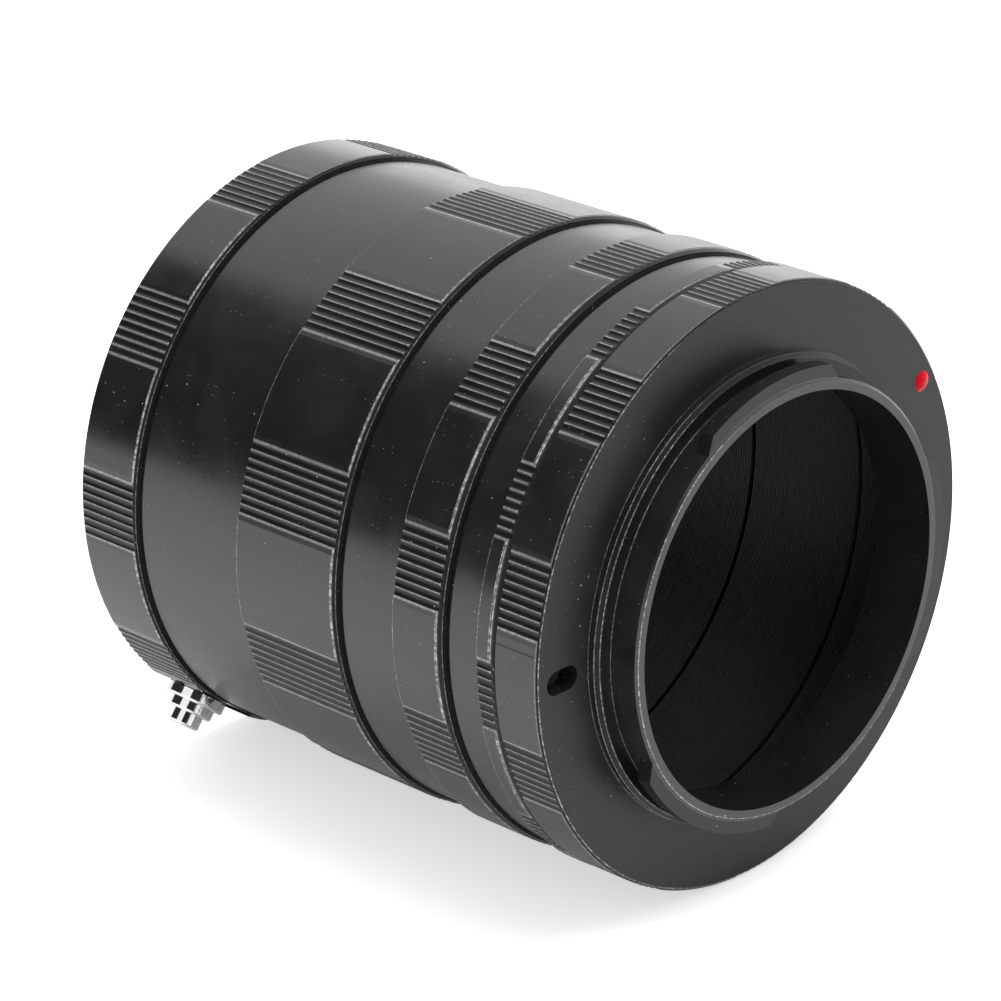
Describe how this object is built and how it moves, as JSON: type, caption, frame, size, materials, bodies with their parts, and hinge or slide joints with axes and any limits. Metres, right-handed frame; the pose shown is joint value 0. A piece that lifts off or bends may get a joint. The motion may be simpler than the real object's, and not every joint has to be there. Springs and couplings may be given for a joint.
{
  "type": "macro extension tube",
  "caption": "Stack of threaded black aluminium extension tubes between a camera bayonet ring and a lens bayonet ring with a sliding lock knob.",
  "frame": {"origin": "on the optical axis, in the plane of the camera bayonet's rim, on which the stack stands", "axes": "+Z along the optical axis, towards the lens side; the release knob points along -Y"},
  "size_m": [0.06, 0.0634, 0.0679],
  "materials": {
    "black_anodised": "satin black anodised, fine turned",
    "mount_steel": "fine turned, bright",
    "spring_steel": "rolled, bright",
    "screw_steel": "bright",
    "pin_steel": "ground",
    "knob_chrome": "polished",
    "index_red": "glossy enamel bead"
  },
  "bodies": {
    "camera": {"camera_mount_ring": "black_anodised", "camera_index_bead": "index_red"},
    "short": {"short_tube": "black_anodised"},
    "medium": {"medium_tube": "black_anodised"},
    "long": {"long_tube": "black_anodised"},
    "lens": {"lens_mount_ring": "black_anodised", "bayonet_plate": "mount_steel", "leaf_spring_a": "spring_steel", "leaf_spring_b": "spring_steel", "leaf_spring_c": "spring_steel", "plate_screws": "screw_steel", "lens_index_bead": "index_red", "slider_spring": "spring_steel"},
    "lock": {"lock_slider": "pin_steel", "lock_pin": "pin_steel", "release_knob": "knob_chrome"}
  },
  "joints": [
    {"name": "short_lift", "type": "slide", "parent": "camera", "child": "short", "axis": [0, 0, 1], "range_m": [0, 0.006]},
    {"name": "medium_lift", "type": "slide", "parent": "short", "child": "medium", "axis": [0, 0, 1], "range_m": [0, 0.006]},
    {"name": "long_lift", "type": "slide", "parent": "medium", "child": "long", "axis": [0, 0, 1], "range_m": [0, 0.006]},
    {"name": "lens_lift", "type": "slide", "parent": "long", "child": "lens", "axis": [0, 0, 1], "range_m": [0, 0.006]},
    {"name": "lock_slide", "type": "slide", "parent": "lens", "child": "lock", "axis": [0, 0, -1], "range_m": [0, 0.0016], "stiffness_N_per_m": 300, "springref_m": -0.0008, "deforming": ["slider_spring"]}
  ]
}
